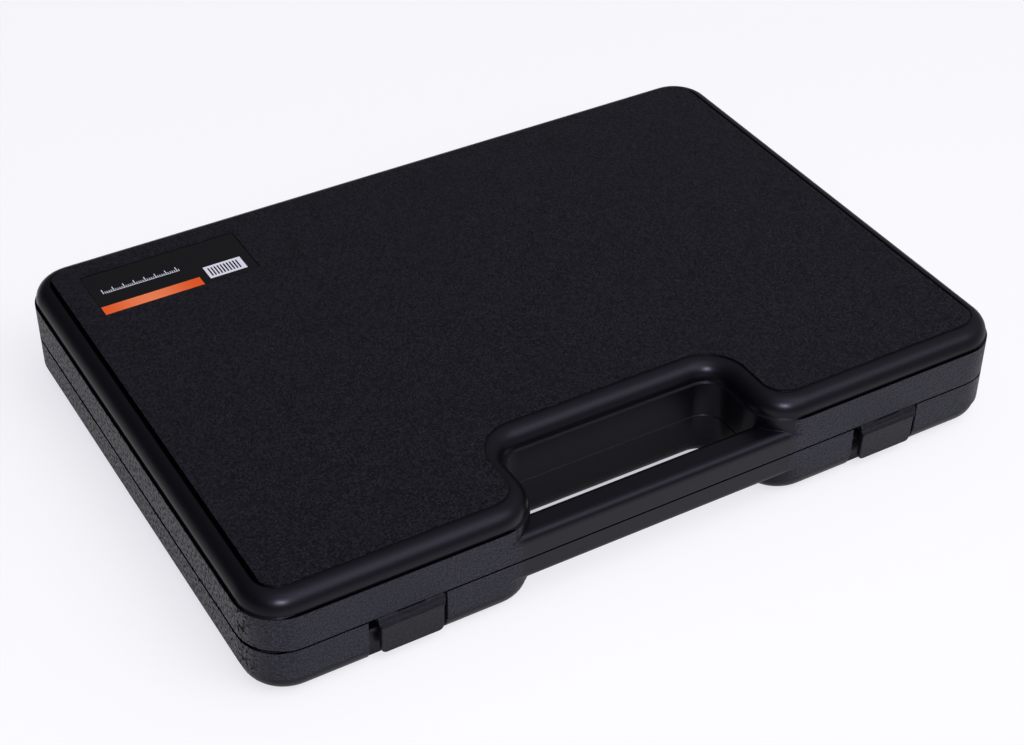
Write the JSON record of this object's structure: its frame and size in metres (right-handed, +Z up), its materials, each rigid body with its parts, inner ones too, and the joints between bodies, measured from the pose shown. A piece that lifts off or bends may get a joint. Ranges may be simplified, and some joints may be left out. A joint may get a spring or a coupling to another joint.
{
  "type": "micrometer case",
  "caption": "Flat moulded carrying case with hinged lid, snap latches on the front, built-in hand grip and a fitted foam tray for outside micrometers.",
  "frame": {"origin": "centre of the rest face under the closed case", "axes": "+X along the front wall towards the right latch, +Y from the handle towards the hinges, +Z up through the lid"},
  "size_m": [0.36, 0.2587, 0.0516],
  "materials": {
    "case_plastic": "fine leather grain on the walls and panels, satin on the shoulders and handle",
    "latch_plastic": "satin",
    "pin_steel": "drawn wire",
    "label_film": "gloss",
    "tray_foam": "closed-cell foam, cut",
    "pad_foam": "open-cell foam"
  },
  "bodies": {
    "base": {"base_shell": "case_plastic", "tray_base_layer": "tray_foam", "tray_pocket_layer": "tray_foam", "hinge_pin_left": "pin_steel", "hinge_pin_right": "pin_steel"},
    "lid": {"lid_shell": "case_plastic", "lid_pad": "pad_foam", "label": "label_film", "latch_pin_left": "pin_steel", "latch_pin_right": "pin_steel"},
    "latch_left_body": {"latch_left": "latch_plastic"},
    "latch_right_body": {"latch_right": "latch_plastic"}
  },
  "joints": [
    {"name": "lid_hinge", "type": "hinge", "parent": "base", "child": "lid", "pos_m": [0, 0.1289, 0.0247], "axis": [-1, 0, 0], "range_deg": [0, 180]},
    {"name": "latch_left_pivot", "type": "hinge", "parent": "lid", "child": "latch_left_body", "pos_m": [-0.1146, -0.1234, 0.022], "axis": [-1, 0, 0], "range_deg": [0, 85]},
    {"name": "latch_right_pivot", "type": "hinge", "parent": "lid", "child": "latch_right_body", "pos_m": [0.118, -0.1234, 0.022], "axis": [-1, 0, 0], "range_deg": [0, 85]}
  ]
}
